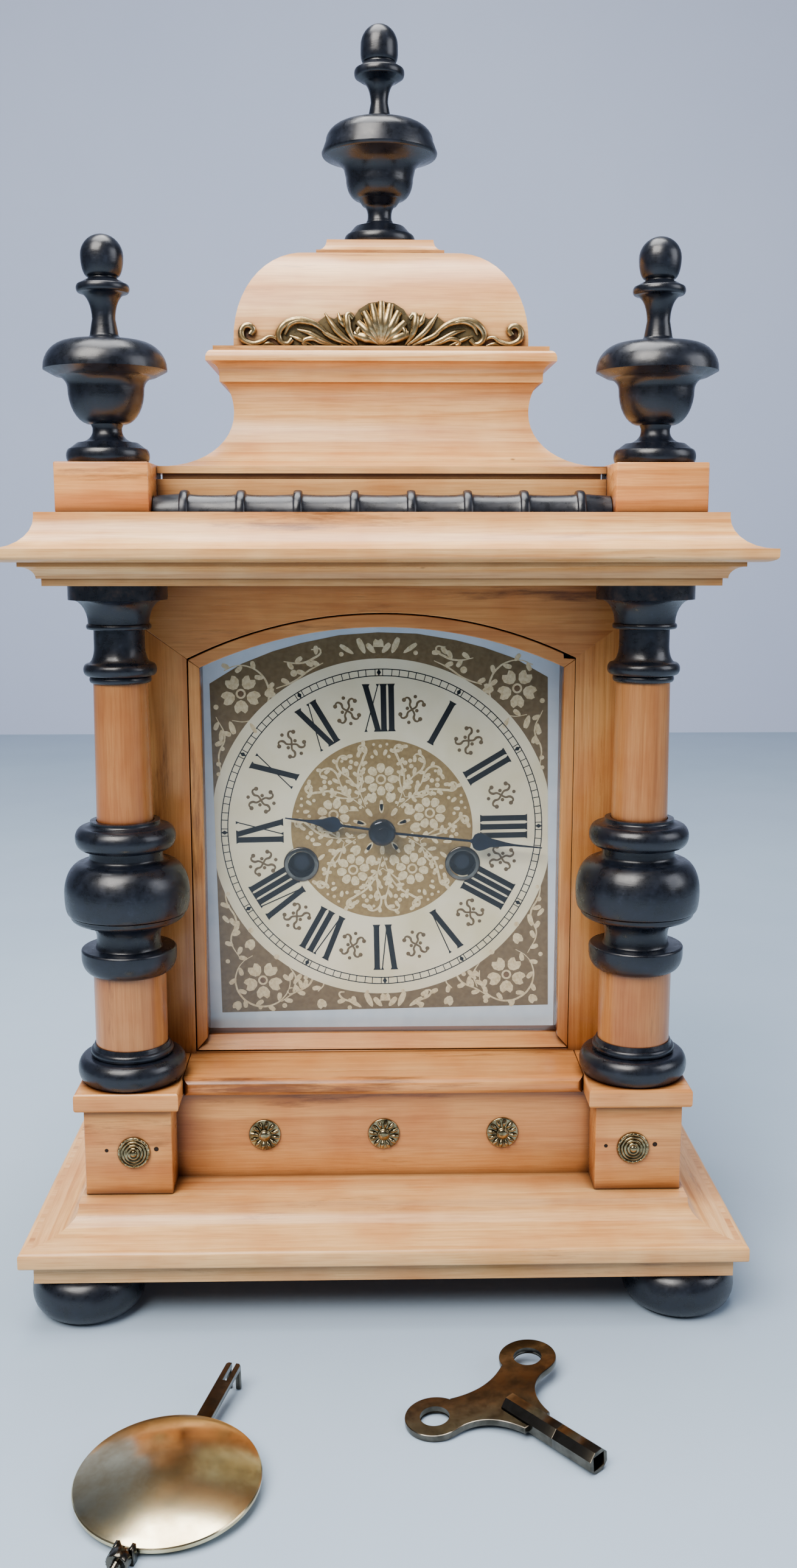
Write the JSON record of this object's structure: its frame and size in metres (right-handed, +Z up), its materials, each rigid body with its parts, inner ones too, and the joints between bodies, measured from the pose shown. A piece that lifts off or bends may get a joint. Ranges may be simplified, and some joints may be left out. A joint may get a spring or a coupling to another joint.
{
  "type": "mantel clock",
  "caption": "Pine mantel clock with turned ebonised columns and finials, domed pediment, glazed arched door and striking movement, with its loose pendulum and winding key.",
  "frame": {"origin": "middle of the base of the outer box of the clock with its loose pendulum and key, on the surface they stand on", "axes": "+Z up, +Y towards the back of the clock, +X to the right of someone who faces the dial"},
  "size_m": [0.26, 0.3002, 0.4758],
  "materials": {
    "pine": "satin",
    "dark_pine": "satin",
    "ebonised_wood": "polished",
    "brass": "polished",
    "old_brass": "tarnished",
    "gilt_metal": "antique gilt",
    "blued_steel": "blued",
    "iron": "rough",
    "printed_paper": "matt",
    "clear_glass": "clear"
  },
  "bodies": {
    "case": {"plinth": "pine", "foot_front_left": "ebonised_wood", "foot_front_right": "ebonised_wood", "foot_rear_left": "ebonised_wood", "foot_rear_right": "ebonised_wood", "apron_panel": "dark_pine", "sill_moulding": "pine", "pedestal_left": "dark_pine", "pedestal_right": "dark_pine", "pedestal_cap_left": "pine", "pedestal_cap_right": "pine", "column_base_left": "ebonised_wood", "column_base_right": "ebonised_wood", "column_shaft_left": "pine", "column_shaft_right": "pine", "column_collar_left": "ebonised_wood", "column_collar_right": "ebonised_wood", "capital_left": "ebonised_wood", "capital_right": "ebonised_wood", "side_panel_left": "pine", "side_panel_right": "pine", "front_frame": "dark_pine", "back_frame": "pine", "cornice": "pine", "corner_block_left": "pine", "corner_block_right": "pine", "side_finial_left": "ebonised_wood", "side_finial_right": "ebonised_wood", "gallery_turning": "ebonised_wood", "pediment_cove": "pine", "dome": "pine", "dome_cap": "pine", "top_finial": "ebonised_wood", "gilt_mount": "gilt_metal", "apron_rosette_left": "old_brass", "apron_rosette_centre": "old_brass", "apron_rosette_right": "old_brass", "pedestal_boss_left": "old_brass", "pedestal_boss_right": "old_brass", "dial_plate": "printed_paper", "movement_front_plate": "brass", "movement_back_plate": "brass", "gong": "iron"},
    "front_door": {"door_frame": "dark_pine", "door_glass": "clear_glass"},
    "rear_door": {"back_door": "pine"},
    "rear_door_button": {"back_door_button": "dark_pine"},
    "minute_arbor": {"centre_wheel": "brass", "minute_hand": "blued_steel"},
    "hour_pipe": {"hour_hand": "blued_steel"},
    "going_barrel": {"going_great_wheel": "brass"},
    "third_arbor": {"third_wheel": "brass"},
    "escape_arbor": {"escape_wheel": "brass"},
    "leader": {"pendulum_leader": "brass"},
    "anchor": {"pallet_anchor": "blued_steel"},
    "strike_barrel": {"strike_great_wheel": "brass"},
    "hammer": {"strike_hammer": "blued_steel"},
    "key": {"winding_key": "old_brass"},
    "pendulum": {"pendulum_rod": "old_brass", "pendulum_bob": "brass"}
  },
  "joints": [
    {"name": "front_door_hinge", "type": "hinge", "parent": "case", "child": "front_door", "pos_m": [0.0708, 0.057, 0.082], "axis": [0, 0, 1], "range_deg": [0, 75]},
    {"name": "back_door_hinge", "type": "hinge", "parent": "case", "child": "rear_door", "pos_m": [0.058, 0.143, 0.095], "axis": [0, 0, -1], "range_deg": [0, 100]},
    {"name": "back_door_button_turn", "type": "hinge", "parent": "case", "child": "rear_door_button", "pos_m": [-0.066, 0.145, 0.16], "axis": [0, 1, 0], "range_deg": [0, 90]},
    {"name": "minute_hand_turn", "type": "hinge", "parent": "case", "child": "minute_arbor", "pos_m": [0, 0.073, 0.1665], "axis": [0, 1, 0], "continuous": true},
    {"name": "hour_hand_turn", "type": "hinge", "parent": "case", "child": "hour_pipe", "pos_m": [0, 0.073, 0.1665], "axis": [0, 1, 0], "continuous": true},
    {"name": "going_barrel_turn", "type": "hinge", "parent": "case", "child": "going_barrel", "pos_m": [0.032, 0.088, 0.1525], "axis": [0, 1, 0], "continuous": true},
    {"name": "third_wheel_turn", "type": "hinge", "parent": "case", "child": "third_arbor", "pos_m": [0.01339, 0.102, 0.18532], "axis": [0, 1, 0], "continuous": true},
    {"name": "escape_wheel_turn", "type": "hinge", "parent": "case", "child": "escape_arbor", "pos_m": [0, 0.108, 0.1995], "axis": [0, 1, 0], "continuous": true},
    {"name": "leader_swing", "type": "hinge", "parent": "case", "child": "leader", "pos_m": [0, 0.1235, 0.2165], "axis": [0, 1, 0], "range_deg": [-5, 5]},
    {"name": "anchor_swing", "type": "hinge", "parent": "case", "child": "anchor", "pos_m": [0, 0.108, 0.2165], "axis": [0, 1, 0], "range_deg": [-5, 5]},
    {"name": "strike_barrel_turn", "type": "hinge", "parent": "case", "child": "strike_barrel", "pos_m": [-0.032, 0.088, 0.1525], "axis": [0, 1, 0], "continuous": true},
    {"name": "hammer_lift", "type": "hinge", "parent": "case", "child": "hammer", "pos_m": [-0.03951, 0.092, 0.1215], "axis": [0, 1, 0], "range_deg": [0, 14], "stiffness_Nm_per_rad": 0.01, "springref_deg": -11.46},
    {"name": "key_lift", "type": "slide", "parent": "case", "child": "key", "axis": [0, 0, 1], "range_m": [0, 0.06]},
    {"name": "pendulum_lift", "type": "slide", "parent": "case", "child": "pendulum", "axis": [0, 0, 1], "range_m": [0, 0.06]}
  ],
  "couplings": [
    {"joint": "hour_hand_turn", "follows": "minute_hand_turn", "ratio": 0.083333},
    {"joint": "going_barrel_turn", "follows": "minute_hand_turn", "ratio": -0.24},
    {"joint": "third_wheel_turn", "follows": "minute_hand_turn", "ratio": -5},
    {"joint": "escape_wheel_turn", "follows": "minute_hand_turn", "ratio": 25},
    {"joint": "anchor_swing", "follows": "leader_swing", "ratio": 1}
  ]
}
